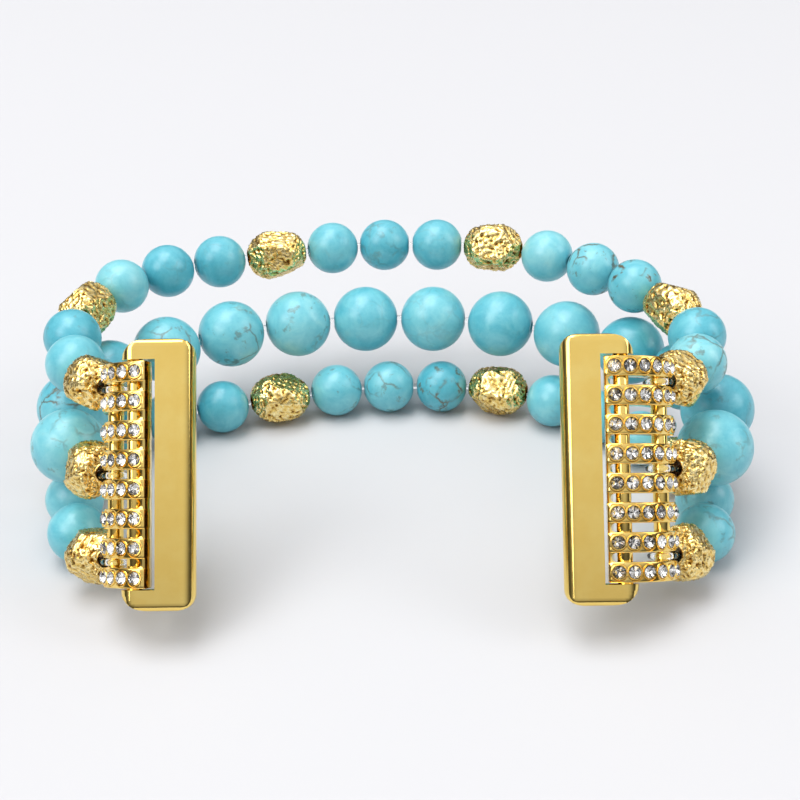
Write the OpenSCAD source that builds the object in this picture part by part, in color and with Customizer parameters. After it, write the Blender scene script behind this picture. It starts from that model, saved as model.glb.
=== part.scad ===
// Stretch bracelet band for a watch head: three strands of beads on elastic cord, gathered at each
// end by a curved, stone set ladder that is hinged to a slide-in lug adapter.
// It stands on its edge: X runs across the loop, Y from the ladders to the back, Z up.

/* [Strands] */
// Diameter of the beads on the two outer strands
outer_bead_d = 6; // [5.4:0.1:6.2]
// Diameter of the beads on the middle strand
middle_bead_d = 7.6; // [6.8:0.1:7.7]
// Length of a gold nugget bead between the stone beads
nugget_len = 7; // [6:0.1:7.4]
// Greatest diameter of a gold nugget bead
nugget_d = 5.7; // [4.8:0.1:5.9]
// Length of the gold nugget at each end of a strand
end_nugget_len = 5.4; // [5:0.1:5.6]
// Space between neighbouring beads on the outer strands
outer_gap = 0.2; // [0.18:0.01:0.3]
// Space between neighbouring beads on the middle strand
middle_gap = 0.35; // [0.3:0.01:0.5]
// Space between the last bead of a strand and its end nugget
end_gap = 0.45; // [0.42:0.01:0.6]
// Height of one strand's plane above the next
strand_rise = 7; // [6.9:0.1:7.6]

/* [Elastic] */
// Diameter of the clear elastic cord
cord_d = 0.6; // [0.5:0.05:0.65]
// Bore through a stone bead
bead_bore_d = 1.3; // [1.2:0.05:1.8]
// Bore through a nugget, where the cord runs double at the ends
nugget_bore_d = 1.9; // [1.9:0.05:2.2]
// Space between the cord and the rod that it loops round
loop_gap = 0.08; // [0.04:0.01:0.1]

/* [Ladders] */
// Angle by which the ladders lean back from upright
lean = 34; // [30:0.5:38]
// Number of stone set bars on a ladder
bar_count = 8; // [8:1:8]
// Distance from one bar to the next
bar_pitch = 2.67; // [2.6:0.01:2.8]
// Height of one bar along the ladder
bar_h = 1.85; // [1.75:0.01:1.86]
// Outer radius of the curved bars
bar_outer_r = 5.5; // [5.3:0.05:5.8]
// Thickness of a bar from its back to its face
bar_t = 2.2; // [2.15:0.05:2.4]
// Number of crystals along a bar
stone_count = 6; // [4:1:6]
// Angle from one crystal to the next round the bar
stone_step = 15; // [14:0.5:15.5]
// Diameter of a crystal
stone_d = 1.15; // [0.9:0.05:1.2]
// Height of the raised rim round each crystal
rim_h = 0.12; // [0.06:0.01:0.2]
// Angle of the left ladder behind its adapter
left_swing = 56; // [52:1:60]
// Angle of the right ladder behind its adapter
right_swing = 30; // [27:1:34]

/* [Pins] */
// Diameter of the hinge pin between a ladder and its adapter
pin_d = 1.4; // [1.2:0.05:1.4]
// Diameter of the rod that carries the cord loops
rod_d = 1.5; // [1.3:0.05:1.5]
// Running clearance of the ladder on its hinge pin, on the radius
pin_play = 0.05; // [0.03:0.01:0.08]
// Clearance of a pin in the holes that hold it, on the radius
pin_seat = 0.02; // [0.01:0.01:0.04]

/* [Lug adapters] */
// Length of a lug adapter along the ladder
lug_len = 24.6; // [24.2:0.1:25.4]
// Thickness of the tongue that slides into the watch head
tongue_t = 2.4; // [2.2:0.05:2.8]
// Depth of the tongue from its nose to the ladder side
tongue_w = 3.6; // [3.2:0.1:4.2]
// Distance from the hinge pin to the tongue
pin_reach = 2; // [1.95:0.05:2.4]
// Radius of the ears round the hinge pin
ear_r = 1.2; // [1.1:0.05:1.5]
// Radius of the ears' outer corners
ear_corner_r = 2.5; // [2.2:0.1:2.5]
// Radius of the tongue's corners
tongue_corner_r = 1.5; // [0.8:0.1:1.7]
// Distance between the hinge pins of the two adapters
pin_span = 44.4; // [44:0.1:46]
// Diameter of the lock plunger in the tongue
plunger_d = 1.5; // [1.2:0.05:1.6]
// Length of the lock plunger
plunger_len = 1.4; // [1.2:0.05:1.5]
// Distance that the lock plunger stands out of the tongue
plunger_out = 0.5; // [0.3:0.05:0.6]
// Wire diameter of the lock spring
spring_wire = 0.14; // [0.1:0.01:0.16]
// Turns of the lock spring
spring_turns = 4; // [3:1:4]

/* [Hidden] */

// Smoothness of spheres, barrels, bores and small pins
ball_fn = 48;
bore_fn = 32;
turquoise = "#5fc3cf";
gold = "#e0ae3c";
pale_gold = "#ecc768";
clear = "#d8e2e6";
crystal = "#eef4f8";
steel = "#b9bcc0";

// Pieces of a strand from its back bead outwards, and the bend before each piece in degrees
outer_lens = [outer_bead_d, nugget_len, outer_bead_d, outer_bead_d, outer_bead_d, nugget_len,
    outer_bead_d, outer_bead_d];
outer_bends_left = [13.8, 1.9, 1.2, 12.4, 23.2, 24.5, 21.9, 9.9];
outer_bends_right = [2.3, 13.6, 16.1, 12.4, 10.3, 13.3, 20.8, 24.5];
// The middle strand's bends are for beads of the drawn size, and grow with larger beads so that
// the strand's ends stay before the ladders
drawn_middle_d = 7.6;
bend_fit = sqrt(middle_bead_d / drawn_middle_d);
middle_bends_left = [9.1, 9.5, 9.8, 13.7, 21.1, 26.6, 28] * bend_fit;
middle_bends_right = [10.1, 9.8, 13.2, 22, 28, 28] * bend_fit;
middle_turn = 6;

// Places of the back beads and of the hinge pins, measured across and behind the loop's middle
outer_back = [0.4, 39.7];
middle_back_x = 6;
middle_ends_behind_pins = 7.49;
bottom_back_shift = [0.3, -0.3];
pin_back = -5.8;
pin_up = 14.2;

// Heights of the three strands: the lowest beads touch the surface
bottom_z = outer_bead_d / 2;
middle_z = bottom_z + strand_rise;
top_z = middle_z + strand_rise;

// Ladder: the arc's middle radius carries both pins, which lie between the outer two crystals
pin_arc_r = bar_outer_r - bar_t / 2;
end_angle = stone_step * (stone_count - 1) / 2;
pin_angle = end_angle - stone_step / 2;
pin_to_rod = 2 * pin_arc_r * sin(pin_angle);
arc_centre = [pin_to_rod / 2, pin_arc_r * cos(pin_angle)];
ladder_len = bar_pitch * (bar_count - 1) + bar_h;
cord_slot_step = 3;
strand_pitch = bar_pitch * cord_slot_step;
bar_end_angle = end_angle + 12;
bar_corner = 0.6;
bar_corner_angle = 7;
spine_inset = 0.05;
spine_angle = 5;
stone_play = 0.03;
stone_seat = 0.35;
stone_h = 0.55;
stone_table = 0.6;
rim_w = 0.14;

// Lug adapter
ear_gap = 0.15;
ear_inner_z = ladder_len / 2 + ear_gap;
ear_t = lug_len / 2 - ear_inner_z;
ear_corner_out = 0.15;
pin_end_wall = 1.3;
pin_len = lug_len - 2 * pin_end_wall;
pin_end_play = 0.1;
pocket_play = 0.05;
pocket_depth = tongue_t - 0.4;
spring_len = pocket_depth - (plunger_len - plunger_out) - 0.02;
spring_r = plunger_d / 2 - spring_wire;
pocket_x = -(pin_reach + tongue_w / 2);

// Vectors and routes
function flat_dir(h) = [cos(h), sin(h), 0];
function lift(p, z) = [p[0], p[1], z];
function unit(v) = v / norm(v);
function lean_back(v) = [v[0], v[1] * cos(lean) + v[2] * sin(lean), v[2] * cos(lean) - v[1] * sin(lean)];
function place(p) = [p[0] + centre_shift[0], p[1] + centre_shift[1], p[2]];

// One row for each piece: its middle, its heading, the gate before it and the heading there
function walk(p, h, last, lens, bends, side, gap, i = 0) =
    i == len(lens) ? [] :
    let (gate = p + (last + gap) / 2 * flat_dir(h),
         turned = h + side * bends[i],
         middle = gate + (lens[i] + gap) / 2 * flat_dir(turned))
    concat([[middle, turned, gate, h]],
        walk(middle, turned, lens[i], lens, bends, side, gap, i + 1));
function last_of(list) = list[len(list) - 1];
function end_gate(rows, length) =
    last_of(rows)[0] + (length + end_gap) / 2 * flat_dir(last_of(rows)[1]);

function outer_walk(back, z, left) =
    walk(lift(back, z), left ? 180 : 0, outer_bead_d, outer_lens,
        left ? outer_bends_left : outer_bends_right, left ? 1 : -1, outer_gap);
function middle_walk(left, back) =
    walk(lift(back, middle_z), left ? 180 - middle_turn : -middle_turn, middle_bead_d,
        [for (b = left ? middle_bends_left : middle_bends_right) middle_bead_d],
        left ? middle_bends_left : middle_bends_right, left ? 1 : -1, middle_gap);

strand_shift = strand_pitch * sin(lean);
bottom_back = outer_back + bottom_back_shift - [0, 2 * strand_shift];
top_left = outer_walk(outer_back, top_z, true);
top_right = outer_walk(outer_back, top_z, false);
bottom_left = outer_walk(bottom_back, bottom_z, true);
bottom_right = outer_walk(bottom_back, bottom_z, false);
trial_ends = [for (left = [true, false])
    end_gate(middle_walk(left, [middle_back_x, 0]), middle_bead_d)[1]];
middle_back = [middle_back_x,
    pin_back + middle_ends_behind_pins - (trial_ends[0] + trial_ends[1]) / 2];
middle_left = middle_walk(true, middle_back);
middle_right = middle_walk(false, middle_back);

// Slide of the whole band that brings the middle of its outline to the origin
outline_left = min([for (r = middle_left) r[0][0]]) - middle_bead_d / 2;
outline_right = max([for (r = middle_right) r[0][0]]) + middle_bead_d / 2;
outline_back = outer_back[1] + outer_bead_d / 2;
outline_front = pin_back - lug_len / 2 * sin(lean) - ear_r * cos(lean);
centre_shift = [-(outline_left + outline_right) / 2, -(outline_back + outline_front) / 2];

// Middle of each hinge pin and rod, and the rod's point in the slot of strand k, from -1 to 1
function pin_middle(left) = [(left ? -1 : 1) * pin_span / 2, pin_back, pin_up];
function rod_offset(left) =
    let (a = left ? left_swing : right_swing)
    lean_back([(left ? -1 : 1) * pin_to_rod * cos(a), pin_to_rod * sin(a), 0]);
function rod_point(left, k) =
    pin_middle(left) + rod_offset(left) + lean_back([0, 0, k * strand_pitch]);
// Direction in which the end nugget of a strand points, from its gate to the rod
function aim(gate, left, k) = unit(rod_point(left, k) - gate);

// Rows of a strand's end: gate, aim and middle of the nugget
function strand_end(rows, length, left, k) =
    let (gate = end_gate(rows, length), a = aim(gate, left, k))
    [gate, a, gate + (end_nugget_len + end_gap) / 2 * a];
top_end_left = strand_end(top_left, outer_bead_d, true, 1);
top_end_right = strand_end(top_right, outer_bead_d, false, 1);
middle_end_left = strand_end(middle_left, middle_bead_d, true, 0);
middle_end_right = strand_end(middle_right, middle_bead_d, false, 0);
bottom_end_left = strand_end(bottom_left, outer_bead_d, true, -1);
bottom_end_right = strand_end(bottom_right, outer_bead_d, false, -1);

// Turns +X towards a direction, level or rising
module along(p, a) {
    translate(place(p))
    rotate([0, -asin(a[2] / norm(a)), atan2(a[1], a[0])])
    children();
}

// The sphere's poles lie on the bore
module bead(d) {
    rotate([0, 90, 0])
    difference() {
        sphere(d = d, $fn = ball_fn);
        cylinder(d = bead_bore_d, h = d + 1, center = true, $fn = bore_fn);
    }
}

// Half of a barrel's outline, as a rounded curve from one end of the axis to the other
barrel_power = 2.4;
barrel_steps = 14;
function barrel_point(t, r, half) =
    [r * pow(sin(t), 2 / barrel_power), half * sign(cos(t)) * pow(abs(cos(t)), 2 / barrel_power)];

// Flat faces that make a nugget angular, as if broken from a block. Each has a turn round the bore,
// a slope along it and a distance from the nugget's middle. The scatter angles are any odd numbers,
// which make the faces of one nugget, and of one nugget and the next, unlike each other.
nugget_sides = 5;
side_depth = 0.42;
side_depth_wave = 0.14;
side_turn_wave = 16;
side_slope_wave = 15;
face_scatter = [97, 143, 211];
nugget_scatter = [61, 29, 83];
function side_wave(i, number, k) = sin(face_scatter[k] * i + nugget_scatter[k] * number);
function side_turn(i, number) = 360 * i / nugget_sides + side_turn_wave * side_wave(i, number, 0);
function side_slope(i, number) = side_slope_wave * side_wave(i, number, 1);
function side_place(i, number) = nugget_d / 2 - side_depth + side_depth_wave * side_wave(i, number, 2);

module nugget(length, d, number) {
    outline = [for (i = [0 : barrel_steps]) barrel_point(180 * i / barrel_steps, d / 2, length / 2)];
    block = 2 * length;
    difference() {
        rotate([0, 90, 0])
        rotate_extrude($fn = ball_fn)
        polygon(outline);
        rotate([0, 90, 0])
        cylinder(d = nugget_bore_d, h = length + 1, center = true, $fn = bore_fn);
        for (i = [0 : nugget_sides - 1])
            rotate([side_turn(i, number), 0, 0])
            rotate([0, 0, -side_slope(i, number)])
            translate([-block / 2, side_place(i, number), -block / 2])
            cube(block);
    }
}

// Stone beads of a strand, numbered from its back bead outwards
module beads(rows, d, numbers) {
    color(turquoise)
    for (i = numbers)
        along(rows[i][0], flat_dir(rows[i][1]))
        bead(d);
}

module back_bead(back, z, turn, d) {
    color(turquoise)
    along(lift(back, z), flat_dir(turn))
    bead(d);
}

module nuggets(rows, i, number) {
    color(gold)
    along(rows[i][0], flat_dir(rows[i][1]))
    nugget(nugget_len, nugget_d, number);
}

// The end nugget is cut at a slant on the side that faces the ladder
end_cut = 12;
module end_nugget(place_row, left, number) {
    color(gold)
    along(place_row[2], place_row[1])
    difference() {
        nugget(end_nugget_len, nugget_d, number);
        translate([end_nugget_len / 2 + nugget_d / 2 - 0.25, 0, 0])
        rotate([0, 0, left ? -end_cut : end_cut])
        cube(nugget_d, center = true);
    }
}

// Elastic cord: a tube swept along points
cord_sides = 8;
function cord_frame(p, i) =
    let (a = unit(p[min(i + 1, len(p) - 1)] - p[max(i - 1, 0)]),
         side = unit(cross([0, 0.3, 1], a)))
    [side, cross(a, side)];
module tube(p, d) {
    n = len(p);
    rings = [for (i = [0 : n - 1]) let (f = cord_frame(p, i))
        for (s = [0 : cord_sides - 1])
            p[i] + d / 2 * (cos(360 * s / cord_sides) * f[0] + sin(360 * s / cord_sides) * f[1])];
    walls = [for (i = [0 : n - 2]) for (s = [0 : cord_sides - 1])
        let (a = i * cord_sides + s, b = i * cord_sides + (s + 1) % cord_sides)
        each [[a, b, b + cord_sides], [a, b + cord_sides, a + cord_sides]]];
    caps = [for (s = [1 : cord_sides - 2]) each
        [[0, s + 1, s], [(n - 1) * cord_sides, (n - 1) * cord_sides + s, (n - 1) * cord_sides + s + 1]]];
    polyhedron(points = rings, faces = concat(walls, caps), convexity = 10);
}

// Eye of the cord: out of the nugget's mouth, round the rod and back in beside itself.
// The points run from the gate of the last bead to the tail inside the nugget. At the mouth both
// runs lie to the side of the bore that is nearest to the slot between the bars.
loop_steps = 10;
tail_len = 2.4;
run_offset = 0.45;
mouth_offset_limit = 0.38;
function eye(end_row, left, k) =
    let (rod = rod_point(left, k),
         up = lean_back([0, 0, 1]),
         flat_in = unit((end_row[2] - rod) - ((end_row[2] - rod) * up) * up),
         across = cross(up, flat_in),
         r = rod_d / 2 + loop_gap + cord_d / 2,
         open = 52,
         centre = end_row[2] + end_nugget_len / 2 * end_row[1],
         off = (rod - centre) * up,
         mouth = centre + max(-mouth_offset_limit, min(mouth_offset_limit, off)) * up,
         deep = mouth - tail_len * end_row[1])
    concat(
        [end_row[0], mouth + run_offset * across],
        [for (i = [0 : loop_steps]) let (t = open + (360 - 2 * open) * i / loop_steps)
            rod + r * (cos(t) * flat_in + sin(t) * across)],
        [mouth - run_offset * across, deep - run_offset * across]);
function backwards(list) = [for (i = [len(list) - 1 : -1 : 0]) list[i]];
function gates(rows) = [for (r = rows) r[2]];
function cord_route(left_rows, left_end, right_rows, right_end, k) =
    [for (p = concat(backwards(eye(left_end, true, k)), backwards(gates(left_rows)),
        gates(right_rows), eye(right_end, false, k))) place(p)];

module cord(left_rows, left_end, right_rows, right_end, k) {
    color(clear)
    tube(cord_route(left_rows, left_end, right_rows, right_end, k), cord_d);
}

// Puts a piece in the frame of a side's hinge pin: X outwards, Y towards the wrist, Z up the ladder
module at_pin(left) {
    translate(place(pin_middle(left)))
    rotate([-lean, 0, 0])
    mirror([left ? 1 : 0, 0, 0])
    children();
}
// The ladder's own frame: the hinge pin at its origin and the cord rod on X
module at_ladder(left) {
    at_pin(left)
    rotate([0, 0, left ? left_swing : right_swing])
    children();
}

// Outline of a curved bar: a ring's sector with its outer corners taken off
function ray(angle, r) = r * [sin(angle), -cos(angle)];
module bar_ring(inset) {
    difference() {
        circle(r = bar_outer_r - inset, $fn = 96);
        circle(r = bar_outer_r - bar_t + inset, $fn = 96);
    }
}
module bar_outline() {
    far = 2 * bar_outer_r;
    cut_end = bar_end_angle - bar_corner_angle;
    translate(arc_centre)
    intersection() {
        bar_ring(0);
        polygon([[0, 0], ray(-bar_end_angle, bar_outer_r - bar_corner),
            ray(-cut_end, bar_outer_r + 0.1), ray(-cut_end, far), ray(cut_end, far),
            ray(cut_end, bar_outer_r + 0.1), ray(bar_end_angle, bar_outer_r - bar_corner)]);
    }
}

// Cross-section of the spine that joins the bars along their ends, beside the hinge pin
module spine_outline() {
    translate(arc_centre)
    intersection() {
        bar_ring(spine_inset);
        polygon([[0, 0], ray(-bar_end_angle + 0.5, 2 * bar_outer_r),
            ray(-bar_end_angle + 0.5 + spine_angle, 2 * bar_outer_r)]);
    }
}

// Places a child at each crystal, with Z out of the bar's face
module at_stones() {
    for (row = [0 : bar_count - 1])
        for (i = [0 : stone_count - 1])
            translate([arc_centre[0], arc_centre[1], (row - (bar_count - 1) / 2) * bar_pitch])
            rotate([90, 0, i * stone_step - end_angle])
            translate([0, 0, bar_outer_r])
            children();
}

module ladder(left) {
    color(pale_gold)
    at_ladder(left)
    difference() {
        union() {
            for (row = [0 : bar_count - 1])
                translate([0, 0, (row - (bar_count - 1) / 2) * bar_pitch - bar_h / 2])
                linear_extrude(bar_h)
                bar_outline();
            translate([0, 0, -ladder_len / 2])
            linear_extrude(ladder_len)
            spine_outline();
            at_stones()
            translate([0, 0, -stone_seat])
            cylinder(r = stone_d / 2 + rim_w, h = stone_seat + rim_h, $fn = 24);
        }
        cylinder(r = pin_d / 2 + pin_play, h = ladder_len + 1, center = true, $fn = bore_fn);
        translate([pin_to_rod, 0, 0])
        cylinder(r = rod_d / 2 + pin_seat, h = ladder_len + 1, center = true, $fn = bore_fn);
        at_stones()
        translate([0, 0, rim_h - stone_seat])
        cylinder(r = stone_d / 2 + stone_play, h = stone_seat + 1, $fn = 24);
    }
}

module crystals(left) {
    color(crystal)
    at_ladder(left)
    at_stones()
    translate([0, 0, rim_h - stone_seat]) {
        cylinder(d = stone_d, h = stone_seat, $fn = 16);
        translate([0, 0, stone_seat])
        cylinder(d1 = stone_d, d2 = stone_d * stone_table, h = stone_h - stone_seat, $fn = 16);
    }
}

module cord_rod(left) {
    color(gold)
    at_ladder(left)
    translate([pin_to_rod, 0, 0])
    cylinder(d = rod_d, h = ladder_len, center = true, $fn = bore_fn);
}

module hinge_pin(left) {
    color(gold)
    at_pin(left)
    cylinder(d = pin_d, h = pin_len, center = true, $fn = bore_fn);
}

// Outline of the adapter seen from its face: the tongue with round corners, X outwards
module lug_face() {
    back_x = -pin_reach;
    nose_x = back_x - tongue_w;
    difference() {
        translate([nose_x, -lug_len / 2])
        square([tongue_w, lug_len]);
        for (s = [-1, 1])
            translate([nose_x, s * lug_len / 2])
            difference() {
                square(2 * tongue_corner_r, center = true);
                translate([tongue_corner_r, -s * tongue_corner_r])
                circle(r = tongue_corner_r, $fn = bore_fn);
            }
    }
}

module lug_adapter(left) {
    color(gold)
    at_pin(left)
    difference() {
        union() {
            intersection() {
                rotate([90, 0, 0])
                linear_extrude(tongue_t + 1, center = true)
                lug_face();
                linear_extrude(lug_len, center = true) {
                    translate([-(pin_reach + tongue_w - tongue_t / 2), 0])
                    circle(d = tongue_t, $fn = ball_fn);
                    translate([-(pin_reach + tongue_w - tongue_t / 2), -tongue_t / 2])
                    square([tongue_w - tongue_t / 2, tongue_t]);
                }
            }
            for (s = [-1, 1])
                translate([0, 0, s * (ear_inner_z + ear_t / 2)])
                linear_extrude(ear_t, center = true) {
                    circle(r = ear_r, $fn = ball_fn);
                    translate([-pin_reach - 0.1, -tongue_t / 2])
                    square([pin_reach + 0.1, tongue_t]);
                }
        }
        for (s = [-1, 1])
            translate([ear_r + ear_corner_out, 0, s * lug_len / 2])
            rotate([90, 0, 0])
            linear_extrude(tongue_t + 1, center = true)
            difference() {
                square(2 * ear_corner_r, center = true);
                translate([-ear_corner_r, -s * ear_corner_r])
                circle(r = ear_corner_r, $fn = bore_fn);
            }
        cylinder(r = pin_d / 2 + pin_seat, h = pin_len + 2 * pin_end_play, center = true, $fn = bore_fn);
        translate([pocket_x, tongue_t / 2 - pocket_depth, 0])
        rotate([-90, 0, 0])
        cylinder(r = plunger_d / 2 + pocket_play, h = pocket_depth + 1, $fn = bore_fn);
    }
}

// Lock plunger with a domed tip, pushed out of the tongue towards the wrist
module lock_plunger(left) {
    tip_h = 0.3;
    color(steel)
    at_pin(left)
    translate([pocket_x, tongue_t / 2 + plunger_out - plunger_len, 0])
    rotate([-90, 0, 0]) {
        cylinder(d = plunger_d, h = plunger_len - tip_h, $fn = bore_fn);
        translate([0, 0, plunger_len - tip_h])
        cylinder(d1 = plunger_d, d2 = plunger_d * 0.6, h = tip_h, $fn = bore_fn);
    }
}

// Coil that pushes the plunger out, from the floor of its pocket to the plunger
coil_rings = 8;
coil_sides = 6;
module lock_spring(left) {
    n = spring_turns * coil_rings + 1;
    climb = (spring_len - spring_wire - 0.04) / (n - 1);
    centre_r = spring_r - spring_wire / 2;
    ring_points = [for (i = [0 : n - 1]) let (t = 360 * i / coil_rings)
        for (s = [0 : coil_sides - 1]) let (a = 360 * s / coil_sides)
            [(centre_r + spring_wire / 2 * cos(a)) * cos(t),
             (centre_r + spring_wire / 2 * cos(a)) * sin(t),
             spring_wire / 2 + 0.02 + i * climb + spring_wire / 2 * sin(a)]];
    walls = [for (i = [0 : n - 2]) for (s = [0 : coil_sides - 1])
        let (a = i * coil_sides + s, b = i * coil_sides + (s + 1) % coil_sides)
        each [[a, b, b + coil_sides], [a, b + coil_sides, a + coil_sides]]];
    caps = [for (s = [1 : coil_sides - 2]) each
        [[0, s + 1, s], [(n - 1) * coil_sides, (n - 1) * coil_sides + s, (n - 1) * coil_sides + s + 1]]];
    color(steel)
    at_pin(left)
    translate([pocket_x, tongue_t / 2 - pocket_depth, 0])
    rotate([-90, 0, 0])
    polyhedron(points = ring_points, faces = concat(walls, caps), convexity = 6);
}

// Top strand
back_bead(outer_back, top_z, 0, outer_bead_d);  // top_bead_back
beads(top_left, outer_bead_d, [0]);  // top_bead_back_left
beads(top_right, outer_bead_d, [0]);  // top_bead_back_right
nuggets(top_left, 1, 1);  // top_nugget_back_left
beads(top_left, outer_bead_d, [2]);  // top_bead_left_1
beads(top_left, outer_bead_d, [3]);  // top_bead_left_2
beads(top_left, outer_bead_d, [4]);  // top_bead_left_3
nuggets(top_left, 5, 2);  // top_nugget_side_left
beads(top_left, outer_bead_d, [6]);  // top_bead_left_4
beads(top_left, outer_bead_d, [7]);  // top_bead_left_5
end_nugget(top_end_left, true, 9);  // top_end_nugget_left
nuggets(top_right, 1, 3);  // top_nugget_back_right
beads(top_right, outer_bead_d, [2]);  // top_bead_right_1
beads(top_right, outer_bead_d, [3]);  // top_bead_right_2
beads(top_right, outer_bead_d, [4]);  // top_bead_right_3
nuggets(top_right, 5, 4);  // top_nugget_side_right
beads(top_right, outer_bead_d, [6]);  // top_bead_right_4
beads(top_right, outer_bead_d, [7]);  // top_bead_right_5
end_nugget(top_end_right, false, 10);  // top_end_nugget_right

// Middle strand
union() {  // middle_beads_back
    back_bead(middle_back, middle_z, -middle_turn, middle_bead_d);
    beads(middle_left, middle_bead_d, [0]);
}
beads(middle_left, middle_bead_d, [1, 2, 3]);  // middle_beads_left_rear
beads(middle_left, middle_bead_d, [4]);  // middle_bead_left_1
beads(middle_left, middle_bead_d, [5]);  // middle_bead_left_2
beads(middle_left, middle_bead_d, [6]);  // middle_bead_left_3
end_nugget(middle_end_left, true, 11);  // middle_end_nugget_left
beads(middle_right, middle_bead_d, [0, 1, 2]);  // middle_beads_right_rear
beads(middle_right, middle_bead_d, [3]);  // middle_bead_right_1
beads(middle_right, middle_bead_d, [4]);  // middle_bead_right_2
beads(middle_right, middle_bead_d, [5]);  // middle_bead_right_3
end_nugget(middle_end_right, false, 12);  // middle_end_nugget_right

// Bottom strand
union() {  // bottom_beads_back
    back_bead(bottom_back, bottom_z, 0, outer_bead_d);
    beads(bottom_left, outer_bead_d, [0]);
    beads(bottom_right, outer_bead_d, [0]);
}
nuggets(bottom_left, 1, 5);  // bottom_nugget_back_left
beads(bottom_left, outer_bead_d, [2, 3]);  // bottom_beads_left_rear
beads(bottom_left, outer_bead_d, [4]);  // bottom_bead_left_1
nuggets(bottom_left, 5, 6);  // bottom_nugget_side_left
beads(bottom_left, outer_bead_d, [6, 7]);  // bottom_beads_left_front
end_nugget(bottom_end_left, true, 13);  // bottom_end_nugget_left
nuggets(bottom_right, 1, 7);  // bottom_nugget_back_right
beads(bottom_right, outer_bead_d, [2, 3]);  // bottom_beads_right_rear
beads(bottom_right, outer_bead_d, [4]);  // bottom_bead_right_1
nuggets(bottom_right, 5, 8);  // bottom_nugget_side_right
beads(bottom_right, outer_bead_d, [6, 7]);  // bottom_beads_right_front
end_nugget(bottom_end_right, false, 14);  // bottom_end_nugget_right

// Elastic cords
cord(top_left, top_end_left, top_right, top_end_right, 1);  // top_elastic_cord
cord(middle_left, middle_end_left, middle_right, middle_end_right, 0);  // middle_elastic_cord
cord(bottom_left, bottom_end_left, bottom_right, bottom_end_right, -1);  // bottom_elastic_cord

// Ladders, pins and lug adapters
ladder(true);  // left_ladder
ladder(false);  // right_ladder
crystals(true);  // left_ladder_crystals
crystals(false);  // right_ladder_crystals
cord_rod(true);  // left_cord_rod
cord_rod(false);  // right_cord_rod
hinge_pin(true);  // left_hinge_pin
hinge_pin(false);  // right_hinge_pin
lug_adapter(true);  // left_lug_adapter
lug_adapter(false);  // right_lug_adapter
lock_plunger(true);  // left_lock_plunger
lock_plunger(false);  // right_lock_plunger
lock_spring(true);  // left_lock_spring
lock_spring(false);  // right_lock_spring
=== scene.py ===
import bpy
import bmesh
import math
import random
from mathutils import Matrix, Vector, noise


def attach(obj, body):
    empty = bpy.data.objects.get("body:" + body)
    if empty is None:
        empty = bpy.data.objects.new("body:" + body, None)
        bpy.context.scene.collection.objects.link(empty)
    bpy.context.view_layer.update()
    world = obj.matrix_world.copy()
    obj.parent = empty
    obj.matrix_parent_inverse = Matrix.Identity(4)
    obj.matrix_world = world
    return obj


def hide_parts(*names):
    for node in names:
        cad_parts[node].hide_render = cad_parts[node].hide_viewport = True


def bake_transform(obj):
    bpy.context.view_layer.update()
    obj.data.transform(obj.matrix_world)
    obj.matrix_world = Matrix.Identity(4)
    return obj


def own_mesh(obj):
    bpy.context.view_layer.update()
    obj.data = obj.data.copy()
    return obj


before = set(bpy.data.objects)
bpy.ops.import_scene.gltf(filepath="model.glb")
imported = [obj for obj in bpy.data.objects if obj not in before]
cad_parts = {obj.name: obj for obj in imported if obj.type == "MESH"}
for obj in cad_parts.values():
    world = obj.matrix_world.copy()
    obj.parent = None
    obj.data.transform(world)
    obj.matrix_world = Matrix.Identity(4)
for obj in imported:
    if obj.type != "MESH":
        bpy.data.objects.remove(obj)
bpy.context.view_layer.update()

# %% [markdown]
# # A stretch watch band of turquoise and gold nuggets
# The band is a loop of three strands. Each strand is a clear elastic cord with polished stone beads
# and cast nuggets on it, and the cords end in loops round a rod of a curved ladder set with crystals.
# The ladders hinge on slide-in lug adapters. This notebook dresses the engineering model: it keeps
# every place and size, and builds each visible piece again with the detail of the real one.

MM = 0.001
SEED = 41
rng = random.Random(SEED)
noise.seed_set(SEED)

# %% [markdown]
# ## Sizes
# The values below repeat the named values of the engineering source, in millimetres. The strands are
# walked bead by bead from the back of the loop outwards, with a bend before each bead, which is how a
# beaded cord really hangs together: every piece is straight, and all the bending is at the gaps.

# %% Named sizes
OUTER_D, MIDDLE_D = 6.0, 7.6
NUGGET_LEN, NUGGET_D, END_LEN = 7.0, 5.7, 5.4
OUTER_GAP, MIDDLE_GAP, END_GAP = 0.2, 0.35, 0.45
RISE = 7.0
LEAN = math.radians(34)
BAR_PITCH, BAR_H, BAR_COUNT = 2.67, 1.85, 8
BAR_R, BAR_T, SPINE = 5.5, 2.2, 5.0
STONES, STONE_STEP = 6, 15.0
PIN_D, ROD_D = 1.4, 1.5
SWING = {"left": 56.0, "right": 30.0}
SIDE = {"left": -1, "right": 1}
PIN_SPAN, PIN_BACK, PIN_UP = 44.4, -5.8, 14.2
LUG_LEN, TONGUE_T, TONGUE_W, PIN_REACH = 24.6, 2.4, 3.6, 2.0
EAR_R = 1.2

OUTER_LENS = [OUTER_D, NUGGET_LEN, OUTER_D, OUTER_D, OUTER_D, NUGGET_LEN, OUTER_D, OUTER_D]
BENDS = {
    ("outer", "left"): [13.8, 1.9, 1.2, 12.4, 23.2, 24.5, 21.9, 9.9],
    ("outer", "right"): [2.3, 13.6, 16.1, 12.4, 10.3, 13.3, 20.8, 24.5],
    ("middle", "left"): [9.1, 9.5, 9.8, 13.7, 21.1, 26.6, 28],
    ("middle", "right"): [10.1, 9.8, 13.2, 22, 28, 28],
}
MIDDLE_TURN = 6
OUTER_BACK, MIDDLE_BACK, BOTTOM_SHIFT = (0.4, 39.7), (6.0, 33.997), (0.3, -0.3)

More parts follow.
